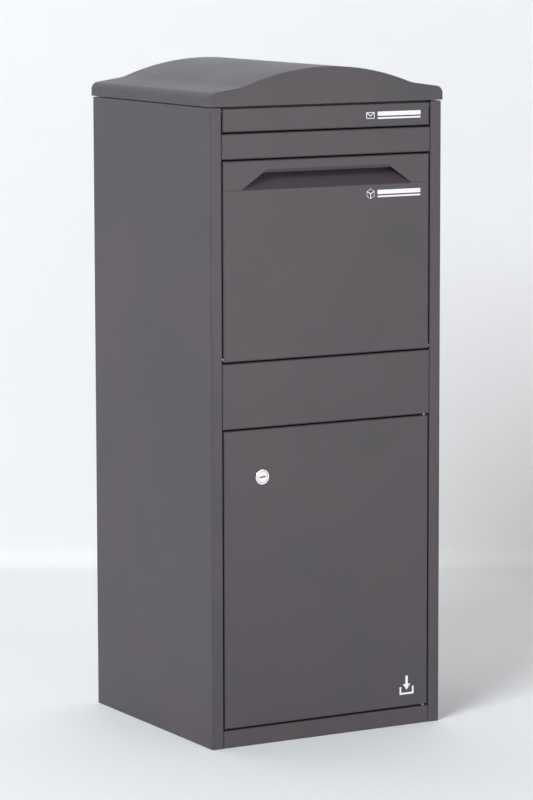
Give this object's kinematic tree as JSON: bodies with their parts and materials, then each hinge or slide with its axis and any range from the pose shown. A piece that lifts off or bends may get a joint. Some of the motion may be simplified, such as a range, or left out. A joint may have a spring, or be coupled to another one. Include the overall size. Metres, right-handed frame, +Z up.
{
  "type": "parcel drop box",
  "caption": "Free-standing steel parcel box with a bowed roof, an inward letter flap, a tilting parcel hopper door and a locked retrieval door.",
  "frame": {"origin": "centre of the footprint, on the surface that the box stands on", "axes": "+Z up; the front with its doors faces -Y; +X is to the right for someone who faces the front"},
  "size_m": [0.4128, 0.3937, 1.0442],
  "materials": {
    "coat": "anthracite fine-texture powder coat",
    "inner_coat": "thinner anthracite powder coat inside",
    "zinc": "bright zinc plate",
    "rivet": "coated blind rivets",
    "chrome": "polished chrome plate",
    "rubber": "black rubber"
  },
  "bodies": {
    "cabinet": {"left_side_panel": "coat", "right_side_panel": "coat", "left_front_stile": "coat", "right_front_stile": "coat", "back_panel": "coat", "base_tray": "coat", "middle_front_rail": "coat", "upper_front_rail": "coat", "top_panel": "coat", "letter_chute": "inner_coat", "letter_shaft_wall": "inner_coat", "hopper_stop": "inner_coat", "hopper_stop_buffers": "rubber", "parcel_door_seal": "rubber", "door_stop_brackets": "inner_coat", "door_stop_buffers": "rubber", "parcel_door_pins": "zinc", "retrieval_door_pins": "zinc", "letter_flap_rod": "zinc", "letter_flap_spring": "zinc", "rear_rivets": "rivet", "roof_cover": "coat", "roof_front_gable": "coat", "roof_rear_gable": "coat", "roof_base": "inner_coat", "roof_spacers": "rubber", "roof_bolts": "zinc", "roof_nuts": "zinc"},
    "letter_flap": {"letter_flap": "coat"},
    "parcel_door": {"parcel_door_panel": "coat", "parcel_door_grip": "coat", "hopper_slide": "inner_coat", "hopper_left_cheek": "inner_coat", "hopper_right_cheek": "inner_coat"},
    "retrieval_door": {"retrieval_door_panel": "coat", "retrieval_door_stiffener": "inner_coat", "lock_housing": "chrome", "lock_nut": "zinc"},
    "lock_core": {"lock_plug": "chrome", "lock_cam": "zinc", "lock_cam_screw": "zinc"}
  },
  "joints": [
    {"name": "letter_flap_swing", "type": "hinge", "parent": "cabinet", "child": "letter_flap", "pos_m": [0, -0.1908, 0.9805], "axis": [1, 0, 0], "range_deg": [0, 65], "stiffness_Nm_per_rad": 0.02, "springref_deg": -34.38},
    {"name": "parcel_door_tilt", "type": "hinge", "parent": "cabinet", "child": "parcel_door", "pos_m": [0, -0.1906, 0.6042], "axis": [1, 0, 0], "range_deg": [0, 50]},
    {"name": "retrieval_door_swing", "type": "hinge", "parent": "cabinet", "child": "retrieval_door", "pos_m": [0.177, -0.1905, 0.2617], "axis": [0, 0, 1], "range_deg": [0, 110]},
    {"name": "lock_turn", "type": "hinge", "parent": "retrieval_door", "child": "lock_core", "pos_m": [-0.1173, -0.186, 0.4192], "axis": [0, 1, 0], "range_deg": [0, 90]}
  ]
}
